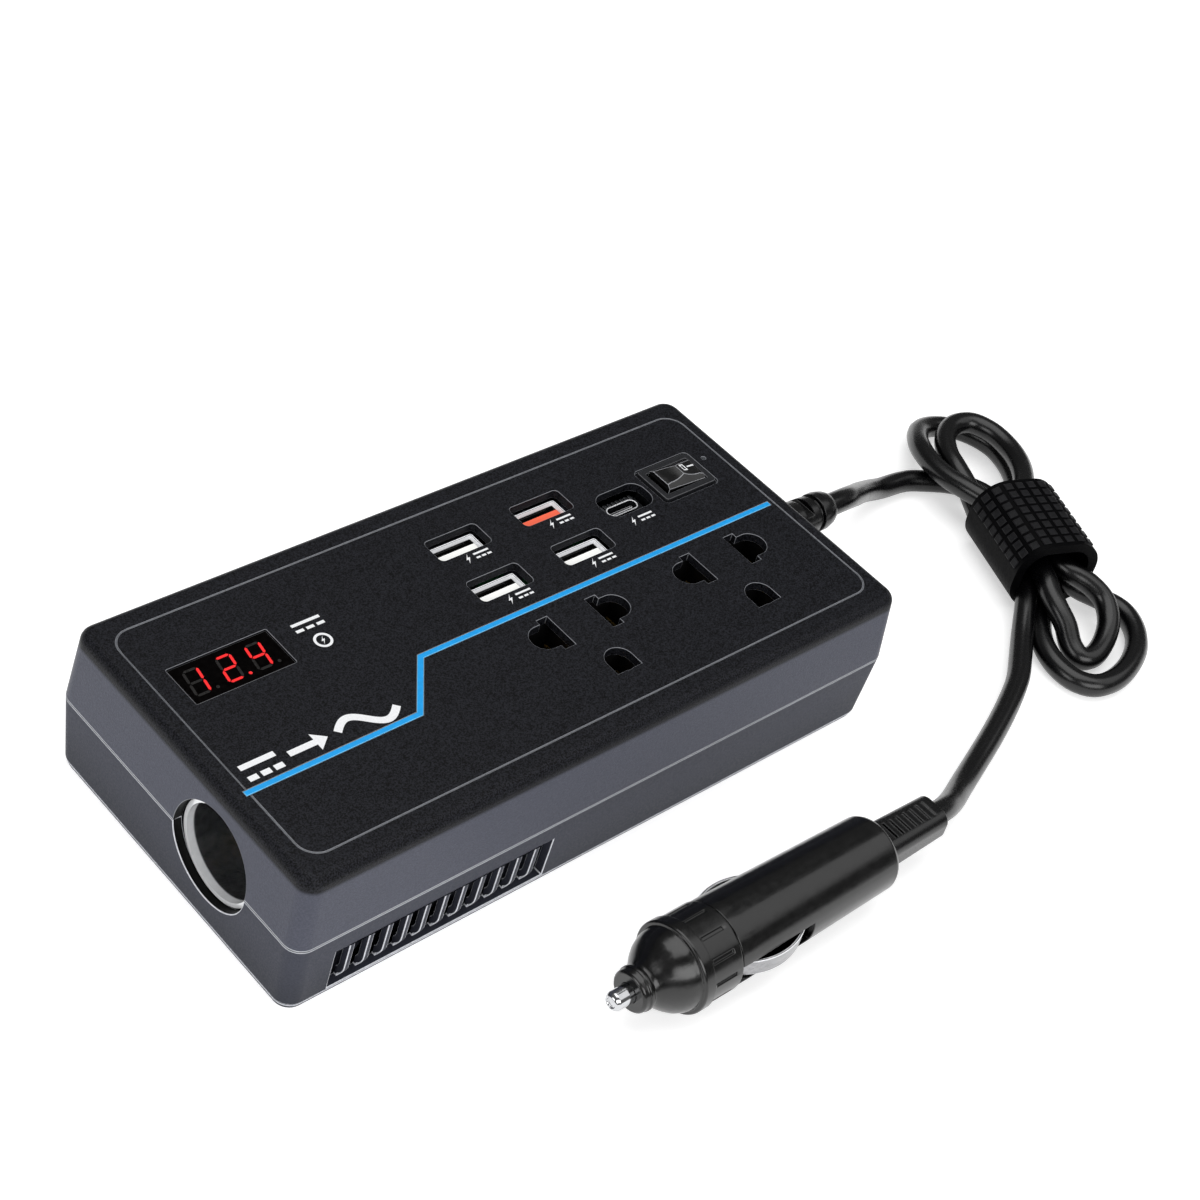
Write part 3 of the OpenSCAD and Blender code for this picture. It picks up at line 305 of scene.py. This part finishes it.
MATERIALS = {
    cover_mat: ["top_cover"],
    case_mat: ["bottom_case"],
    blue_mat: ["accent_stripe"],
    glass_mat: ["display_lens"],
    red_mat: ["display_module"],
    board_mat: ["display_board", "usb_board", "main_board"],
    steel_mat: ["usb_a_shell_1", "usb_a_shell_2", "usb_a_shell_3", "usb_a_shell_4"],
    dark_steel_mat: ["usb_c_shell", "usb_c_tongue"],
    socket_mat: ["socket_tube"],
    white_mat: ["usb_a_tongue_1", "usb_a_tongue_2", "usb_a_tongue_3"],
    orange_mat: ["usb_a_tongue_4"],
    brass_mat: ["usb_contacts", "switch_terminals", "live_contacts", "neutral_contacts",
                "ground_contacts", "socket_center_contact"],
    matte_mat: ["outlet_carrier", "fan_frame", "fan_rotor", "power_transistors"],
    bezel_mat: ["usb_c_carrier", "switch_housing"],
    tie_mat: ["cord_tie"],
    gloss_mat: ["switch_rocker", "plug_barrel", "plug_nose_cap", "capacitors"],
    smoke_mat: ["power_light"],
    chrome_mat: ["plug_tip"],
    strip_mat: ["plug_contact_front", "plug_contact_back"],
    cream_mat: ["socket_insulator"],
    ferrite_mat: ["transformer_core"],
    copper_mat: ["transformer_winding", "choke"],
    alu_mat: ["heatsink"],
    zinc_mat: ["case_screws", "board_screws", "plug_spring"],
    rubber_mat: ["cord_gland", "plug_strain_relief", "cord_from_case", "cord_hank", "cord_to_plug"],
    fuse_mat: ["plug_fuse"],
}
for mat, names in MATERIALS.items():
    for name in names:
        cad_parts[name].data.materials.clear()
        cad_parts[name].data.materials.append(mat)


# ---- cord ----

def on_hank(x, y, z):
    """A point given in the hank's own frame, in millimetres, in the object's frame."""
    p = Matrix.Rotation(HANK_TURN, 3, "Z") @ Vector((x, y, 0)) + HANK
    return Vector((p.x, p.y, z))


FROM_CASE = [(90, 4, 19.5), (102, 4, 19.5), (111, 4, 19.5), (119, 4.8, 18.2), (126, 7, 14.8),
             (133, 9.8, 10.8), (140, 12, 7), (147, 13, 4.2)]
IN_HANK = [
    (-19, 33.8, 2.9), (-12, 33.3, 2.9), (-4, 31.3, 2.9), (1.5, 27, 3), (3.2, 20, 4), (0, 13, 5.6),
    (0, 0, 5.6), (0, -13, 5.6), (-1.8, -16.2, 3.8), (-5, -20, 2.9), (-8, -25, 2.9), (-9.8, -31, 2.9),
    (-9.6, -37.5, 2.9), (-7.3, -42.5, 2.9), (-2.8, -45, 2.9), (3.5, -43.8, 2.9), (10, -39.8, 2.9),
    (15.8, -33.8, 2.9), (18.8, -27, 2.9), (18.6, -20.5, 2.9), (14, -15.8, 3.4), (8.6, -13, 5),
    (6.3, -8, 5.6), (6.3, 0, 5.6), (6.4, 10, 5.6), (8.2, 15.5, 4.8), (11, 21.5, 3.6), (13.8, 29, 2.9),
    (15.4, 37, 2.9), (14.4, 45, 2.9), (9.6, 51.6, 2.9), (2.5, 54.6, 3), (-4.6, 52.4, 4.4), (-9, 47, 6.2),
    (-11.7, 40.4, 8), (-12.1, 33.6, 8.8), (-10.9, 27, 9.5), (-8.2, 20.6, 10.3), (-4.6, 14.4, 10.5),
    (-3.1, 8, 10.5), (-3.1, 0, 10.5), (-3.1, -8, 10.5), (-3.4, -14, 10.4), (-4.2, -18.5, 9.7),
    (-4.2, -23, 8.7), (-3.4, -27.5, 6.8), (-3.4, -32, 4.3), (-1.8, -35.6, 3), (2.2, -35.2, 3.1),
    (7, -31.4, 4), (10.6, -26.4, 5.6), (11.4, -21, 7.6), (8.8, -16.4, 9.4), (4.8, -12.4, 10.4),
    (3.1, -8, 10.5), (3.1, 0, 10.5), (3.4, 10, 10.5), (6, 16.5, 10.5), (10.2, 23, 10), (13, 30, 9.3),
    (13.8, 37, 8.8), (12, 44, 8.8), (7.6, 48.6, 8.8), (1.8, 48.2, 8.6), (-2.8, 43.8, 8.4),
    (-5.2, 37.4, 8.5), (-5.6, 31.4, 8.5), (-5.1, 26, 7.4), (-4.9, 20, 5.4), (-6.1, 13.4, 5.3),
    (-6.3, 6, 5.6), (-6.3, -6, 5.6), (-6.6, -12.5, 5.4), (-8.6, -17, 4.8), (-11.4, -21.8, 3.8),
    (-14.4, -26.8, 3.1), (-18.4, -33.4, 2.9)]
TO_PLUG = [(126, -55, 2.9), (116, -60, 2.9), (105.6, -64.4, 2.9), (95, -68.4, 3), (85, -72.2, 4),
           (77, -75.4, 6.4), (70, -77.4, 9), (63, -78, 10.45), (56, -78, 10.45)]


def smooth_route(points, steps):
    """Points of an even curve through the given ones."""
    out = []
    last = len(points) - 1
    for i in range(last):
        p0, p1, p2, p3 = (points[min(max(i + k, 0), last)] for k in (-1, 0, 1, 2))
        for s in range(steps):
            t = s / steps
            out.append(0.5 * (2 * p1 + (p2 - p0) * t + (2 * p0 - 5 * p1 + 4 * p2 - p3) * t * t
                              + (3 * p1 - p0 - 3 * p2 + p3) * t * t * t))
    out.append(points[-1])
    return out


def add_line(name, points, diameter, mat, sides=4):
    """A round line through points, as a curve."""
    data = bpy.data.curves.new(name, "CURVE")
    data.dimensions = "3D"
    data.bevel_depth = diameter / 2
    data.bevel_resolution = sides
    data.use_fill_caps = True
    spline = data.splines.new("POLY")
    spline.points.add(len(points) - 1)
    for item, p in zip(spline.points, points):
        item.co = (*p, 1)
    spline.use_smooth = True
    obj = bpy.data.objects.new(name, data)
    bpy.context.scene.collection.objects.link(obj)
    obj.data.materials.append(mat)
    return obj


def make_cord():
    points = [Vector(p) for p in FROM_CASE] + [on_hank(*p) for p in IN_HANK] + [Vector(p) for p in TO_PLUG]
    points = smooth_route([p * MM for p in points], 5)
    for p in points:
        p.z = max(p.z, CORD_D / 2)
    obj = add_line("cord", points, CORD_D, rubber_mat)
    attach(obj, "case")
    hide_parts("cord_from_case", "cord_hank", "cord_to_plug")


make_cord()


# ---- pieces ----

class Piece:
    """Collects solids, in millimetres, into one mesh."""

    def __init__(self):
        self.verts = []
        self.faces = []

    def add(self, verts, faces):
        start = len(self.verts)
        self.verts += [tuple(v) for v in verts]
        self.faces += [tuple(start + i for i in f) for f in faces]

    def prism(self, outline, low, high):
        """An upright solid on an outline that runs anticlockwise."""
        n = len(outline)
        verts = [(x, y, low) for x, y in outline] + [(x, y, high) for x, y in outline]
        sides = [(i, (i + 1) % n, n + (i + 1) % n, n + i) for i in range(n)]
        self.add(verts, sides + [tuple(reversed(range(n))), tuple(range(n, 2 * n))])

    def box(self, low, high):
        corners = [(low[0], low[1]), (high[0], low[1]), (high[0], high[1]), (low[0], high[1])]
        self.prism(corners, low[2], high[2])

    def ribbon(self, line, width, low, high):
        """A flat band of even width along a line of points."""
        line = [Vector(p) for p in line]
        left, right = [], []
        for i, p in enumerate(line):
            ahead = (line[min(i + 1, len(line) - 1)] - line[max(i - 1, 0)]).normalized()
            side = Vector((-ahead.y, ahead.x)) * width / 2
            left.append(p + side)
            right.append(p - side)
        self.prism([tuple(p) for p in right] + [tuple(p) for p in reversed(left)], low, high)

    def ring(self, center, rx, ry, width, low, high, sides=40):
        """A flat oval ring."""
        verts, faces = [], []
        for i in range(sides):
            c, s = math.cos(2 * math.pi * i / sides), math.sin(2 * math.pi * i / sides)
            for grow, z in ((0, low), (width, low), (width, high), (0, high)):
                verts.append((center[0] + (rx - grow) * c, center[1] + (ry - grow) * s, z))
        for i in range(sides):
            a, b = 4 * i, 4 * ((i + 1) % sides)
            faces += [(a + k, a + (k + 1) % 4, b + (k + 1) % 4, b + k) for k in range(4)]
        self.add(verts, faces)

    def make(self, name, mat, body, slot, place=None):
        mesh = bpy.data.meshes.new(name)
        mesh.from_pydata([tuple(c * MM for c in v) for v in self.verts], [], self.faces)
        cleaner = bmesh.new()
        cleaner.from_mesh(mesh)
        bmesh.ops.recalc_face_normals(cleaner, faces=cleaner.faces)
        cleaner.to_mesh(mesh)
        cleaner.free()
        mesh.materials.append(mat)
        obj = bpy.data.objects.new(name, mesh)
        bpy.context.scene.collection.objects.link(obj)
        if place is not None:
            obj.matrix_world = place
        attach(obj, body)
        return obj


def soften(names, width, edge_mat=None, angle=25):
    """Rounds the sharp edges of CAD nodes, width in millimetres. edge_mat colours the rounding: painted
    highlight where it is lighter than the part, painted shade where it is darker.
    """
    for name in names:
        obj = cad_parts[name]
        for poly in obj.data.polygons:
            poly.use_smooth = True
        weld = obj.modifiers.new("weld", "WELD")
        weld.merge_threshold = 0.000002
        flat = obj.modifiers.new("flat", "DECIMATE")
        flat.decimate_type = "DISSOLVE"
        flat.angle_limit = math.radians(1)
        bevel = obj.modifiers.new("bevel", "BEVEL")
        bevel.width = width * MM
        bevel.segments = 2
        bevel.limit_method = "ANGLE"
        bevel.angle_limit = math.radians(angle)
        bevel.use_clamp_overlap = False
        if edge_mat is not None:
            obj.data.materials.append(edge_mat)
            bevel.material = 1
        weighted = obj.modifiers.new("normals", "WEIGHTED_NORMAL")
        weighted.keep_sharp = False
        weighted.weight = 80


# The edge materials are painted highlights; on the USB-A sockets they are painted shade.
soften(["top_cover"], 0.11, cover_edge_highlight_mat)
soften(["bottom_case"], 0.2, case_edge_highlight_mat)
soften(["switch_housing", "usb_c_carrier"], 0.12, part_edge_highlight_mat)
soften(["switch_rocker"], 0.11, rocker_edge_highlight_mat)
soften(["accent_stripe"], 0.09, blue_edge_highlight_mat)
soften(["plug_barrel", "plug_nose_cap", "cord_gland", "plug_strain_relief", "plug_tip"], 0.2)
soften(["plug_contact_front", "plug_contact_back"], 0.18, light_edge_highlight_mat)
soften([f"usb_a_{kind}_{i}" for kind in ("shell", "tongue") for i in range(1, 5)], 0.07, steel_edge_shade_mat)
soften(["usb_c_shell", "usb_c_tongue"], 0.14, light_edge_highlight_mat)
soften(["display_lens"], 0.15, glass_edge_highlight_mat)


# ---- display ----

SEGMENTS = {"1": "bc", "2": "abged", "4": "fgbc", "8": "abcdefg"}
DIGIT = (3.3, 6.8)               # width and height of a digit
DIGIT_LEAN = math.tan(math.radians(9))
DIGIT_X = (-70.8, -62.8, -55.6)
DIGIT_Y = 15.3
SEGMENT_W = 0.62


def segment(name):
    """Both ends of one segment of a digit, from the digit's middle."""
    w, h = DIGIT[0] / 2, DIGIT[1] / 2
    ends = {"a": ((-w, h), (w, h)), "b": ((w, h), (w, 0)), "c": ((w, 0), (w, -h)), "d": ((-w, -h), (w, -h)),
            "e": ((-w, 0), (-w, -h)), "f": ((-w, h), (-w, 0)), "g": ((-w, 0), (w, 0))}
    return [Vector(p) for p in ends[name]]


def add_segments(piece, letters, x, low, high):
    for letter in letters:
        a, b = segment(letter)
        along = (b - a).normalized()
        side = Vector((-along.y, along.x)) * SEGMENT_W / 2
        a, b = a + along * 0.5, b - along * 0.5
        tip = along * 0.4
        outline = [a - tip, a - side, b - side, b + tip, b + side, a + side]
        leaned = [(x + p.x + p.y * DIGIT_LEAN, DIGIT_Y + p.y) for p in outline]
        piece.prism(leaned, low, high)


def make_display():
    lens_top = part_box("display_lens")[1].z / MM
    lit, unlit = Piece(), Piece()
    for x, digit in zip(DIGIT_X, "124"):
        on = SEGMENTS[digit]
        add_segments(lit, on, x, lens_top, lens_top + 0.04)
        add_segments(unlit, [s for s in SEGMENTS["8"] if s not in on], x, lens_top, lens_top + 0.02)
        dot = lit if digit == "2" else unlit
        dot.ring((x + 2.9, DIGIT_Y - 3.2), 0.4, 0.4, 0.36, lens_top, lens_top + 0.03, 16)
    lit.make("display_lit_segments", lit_mat, "case", "display_red")
    unlit.make("display_unlit_segments", unlit_mat, "case", "display_black")


make_display()


# ---- printed marks ----

PRINT_LOW = TOP_Z - 0.03
PRINT_HIGH = TOP_Z + 0.04


def direct_current(piece, x, y, w, thick):
    """A solid bar over three short ones."""
    piece.box((x - w / 2, y + thick * 0.7, PRINT_LOW), (x + w / 2, y + thick * 1.7, PRINT_HIGH))
    dash = w / 3.8
    for i in (-1, 0, 1):
        mid = x + i * (w - dash) / 2
        piece.box((mid - dash / 2, y - thick * 1.7, PRINT_LOW), (mid + dash / 2, y - thick * 0.7, PRINT_HIGH))


def bolt(piece, x, y, size):
    """A charging flash."""
    shape = [(0.5, 1), (-0.45, -0.15), (-0.02, -0.15), (-0.42, -1), (0.5, 0.22), (0.05, 0.22)]
    piece.prism([(x + px * size, y + py * size) for px, py in shape], PRINT_LOW, PRINT_HIGH)


def arrow(piece, x, y, l, thick):
    """An arrow that points along +X."""
    back, neck, tip = x - l / 2, x + l / 2 - thick * 2, x + l / 2
    half, wide = thick / 2, thick * 1.6
    piece.prism([(back, y - half), (neck, y - half), (neck, y - wide), (tip, y), (neck, y + wide),
                 (neck, y + half), (back, y + half)], PRINT_LOW, PRINT_HIGH)


def wave(piece, x, y, l, height, thick):
    """One full sine wave."""
    line = [(x - l / 2 + l * i / 32, y + height / 2 * math.sin(2 * math.pi * i / 32)) for i in range(33)]
    piece.ribbon(line, thick, PRINT_LOW, PRINT_HIGH)


PORT_MARKS = [(1.9, 2.85), (1.9, 17.4), (26.4, 2.85), (26.4, 17.4), (44.3, 9.2)]   # the flashes
PORT_BOLT = 1.45                 # half the height of a port's flash
PORT_BARS = (4.2, 0.52)          # width and thickness of the bars beside it
PORT_GAP = 4                     # from the flash to the middle of the bars
INPUT_X = -41.4
TITLE_Y = -10.2


def make_marks():
    ports, title, inputs = Piece(), Piece(), Piece()
    for x, y in PORT_MARKS:
        bolt(ports, x, y, PORT_BOLT)
        direct_current(ports, x + PORT_GAP, y, *PORT_BARS)
    direct_current(inputs, INPUT_X, 17.8, 7.2, 0.78)
    inputs.ring((INPUT_X, 12.4), 2.1, 2.1, 0.6, PRINT_LOW, PRINT_HIGH)
    bolt(inputs, INPUT_X, 12.4, 1.15)
    direct_current(title, -73.3, TITLE_Y, 8.4, 1.35)
    arrow(title, -62, TITLE_Y, 9.6, 1.5)
    wave(title, -47.2, TITLE_Y, 15, 4.4, 1.75)
    ports.make("port_marks", print_mat, "case", "tongue_white")
    inputs.make("input_marks", print_mat, "case", "tongue_white")
    title.make("conversion_mark", print_mat, "case", "tongue_white")


make_marks()

ROCKER_PIVOT = Vector((64.2, 16.1, 36.6))
ROCKER_TILT = math.radians(5)


def rocker_face(x):
    """Height over the pivot of the rocker's dished right half."""
    dish_x, dish_z, dish_r = 4.6, 20.2, 17.1
    return dish_z - math.sqrt(dish_r ** 2 - (x - dish_x) ** 2)


def rocker_bar(piece, low, high):
    """A printed bar that follows the dished face, between two corners seen from above."""
    outline = [(low[0], low[1]), (high[0], low[1]), (high[0], high[1]), (low[0], high[1])]
    verts = [(x, y, rocker_face(x) + lift) for lift in (-0.15, 0.04) for x, y in outline]
    sides = [(i, (i + 1) % 4, 4 + (i + 1) % 4, 4 + i) for i in range(4)]
    piece.add(verts, sides + [(3, 2, 1, 0), (4, 5, 6, 7)])


def make_rocker_marks():
    """An upright oblong beside a dash."""
    place = Matrix.Translation(ROCKER_PIVOT * MM) @ Matrix.Rotation(ROCKER_TILT, 4, "Y")
    marks = Piece()
    left, right, front, back, line = 1.3, 2.7, -0.5, 1.7, 0.34
    rocker_bar(marks, (left, front), (left + line, back))
    rocker_bar(marks, (right - line, front), (right, back))
    rocker_bar(marks, (left + line, front), (right - line, front + line))
    rocker_bar(marks, (left + line, back - line), (right - line, back))
    rocker_bar(marks, (3.3, 0.4), (5.4, 0.8))
    marks.make("rocker_marks", print_mat, "rocker", "tongue_white", place)


make_rocker_marks()


# ---- cord tie ----

TIE = (24.0, 25.5, 20.0)         # across, along and high
TIE_R = 8.5
GRID_LOW_Z = 11.5                # the grid keeps above this height
GRID_RIGHT_X = 9.5               # and to the left of this


def tie_outline(grow, steps=8):
    """Points round the strap's section, each with its outward direction."""
    out = []
    hx, hz, r = TIE[0] / 2 - TIE_R, TIE[2] / 2 - TIE_R, TIE_R + grow
    for corner, (sx, sz) in enumerate(((1, 1), (-1, 1), (-1, -1), (1, -1))):
        for i in range(steps + 1):
            a = math.radians(90 * corner + 90 * i / steps)
            out.append(Vector((sx * hx + r * math.cos(a), TIE[2] / 2 + sz * hz + r * math.sin(a))))
    return out


def along_outline(points, distance):
    """The point and the direction at a distance along a closed outline."""
    n = len(points)
    i = 0
    while True:
        a, b = points[i % n], points[(i + 1) % n]
        step = (b - a).length
        if distance <= step:
            return a + (b - a) * distance / step, (b - a).normalized()
        distance -= step
        i += 1


def make_tie_grid():
    """Small raised squares on the upper part of the strap, in rows."""
    outline = tie_outline(0)
    round_length = sum((outline[(i + 1) % len(outline)] - p).length for i, p in enumerate(outline))
    columns, rows = 22, 8
    pad, rise = 2.15, 0.28
    piece = Piece()
    for c in range(columns):
        at, ahead = along_outline(outline, round_length * (c + 0.5) / columns)
        if at.y < GRID_LOW_Z or at.x > GRID_RIGHT_X:
            continue
        out = Vector((ahead.y, -ahead.x))
        for r in range(rows):
            y = (r - (rows - 1) / 2) * (TIE[1] - 1.6) / rows
            verts = []
            for lift, shrink in ((-0.3, 1.0), (rise * 0.6, 1.0), (rise, 0.82)):
                for sa, sy in ((-1, -1), (1, -1), (1, 1), (-1, 1)):
                    p = at + ahead * sa * pad / 2 * shrink + out * lift
                    verts.append((p.x, y + sy * pad / 2 * shrink, p.y))
            faces = [(0, 1, 2, 3), (8, 9, 10, 11)]
            for low in (0, 4):
                faces += [(low + k, low + (k + 1) % 4, low + 4 + (k + 1) % 4, low + 4 + k) for k in range(4)]
            piece.add(verts, faces)
    place = Matrix.Translation(HANK * MM) @ Matrix.Rotation(HANK_TURN, 4, "Z")
    piece.make("cord_tie_grid", pad_mat, "case", "cord_rubber", place)


make_tie_grid()


# ---- stage ----

FLOOR_SIZE = 6
FLOOR_Z = -0.2 * MM              # just under the object
FLOOR_GLOW = 0.52                # keeps the floor white round the object
WORLD_LIGHT = 0.14
# name, place, aimed at, width and height, power
LIGHTS = [
    ("overhead", (0.1, 0.3, 1.8), (0.03, 0, 0), (1.8, 1.8), 22),
    ("front", (-0.35, -1.25, 0.85), (0.03, -0.05, 0), (1.5, 0.8), 13),
    ("left", (-1.3, 0.1, 0.7), (0, 0, 0), (0.8, 0.6), 5),
    ("right", (0.9, -0.55, 1.15), (0.02, -0.078, 0.01), (1.2, 1), 4),
]


def make_floor():
    floor = bpy.data.meshes.new("floor")
    s = FLOOR_SIZE
    floor.from_pydata([(-s, -s, 0), (s, -s, 0), (s, s, 0), (-s, s, 0)], [], [(0, 1, 2, 3)])
    obj = bpy.data.objects.new("floor", floor)
    obj.location.z = FLOOR_Z
    bpy.context.scene.collection.objects.link(obj)
    mat = new_material("floor", (0.8, 0.8, 0.8), 0.9, specular=0.05, vary=0.005, bump=0.0)
    shader = mat.node_tree.nodes["Principled BSDF"]
    shader.inputs["Emission Color"].default_value = (1, 1, 1, 1)
    shader.inputs["Emission Strength"].default_value = FLOOR_GLOW
    floor.materials.append(mat)


def add_light(name, place, aim, size, power):
    data = bpy.data.lights.new(name, "AREA")
    data.shape = "RECTANGLE"
    data.size, data.size_y = size
    data.energy = power
    obj = bpy.data.objects.new(name, data)
    obj.location = place
    obj.rotation_euler = (Vector(aim) - Vector(place)).to_track_quat("-Z", "Y").to_euler()
    bpy.context.scene.collection.objects.link(obj)


def make_stage():
    make_floor()
    world = bpy.data.worlds.new("world")
    world.use_nodes = True
    background = world.node_tree.nodes["Background"]
    background.inputs["Color"].default_value = (1, 1, 1, 1)
    background.inputs["Strength"].default_value = WORLD_LIGHT
    bpy.context.scene.world = world
    for light in LIGHTS:
        add_light(*light)
    bpy.context.scene.view_settings.view_transform = "Standard"


make_stage()
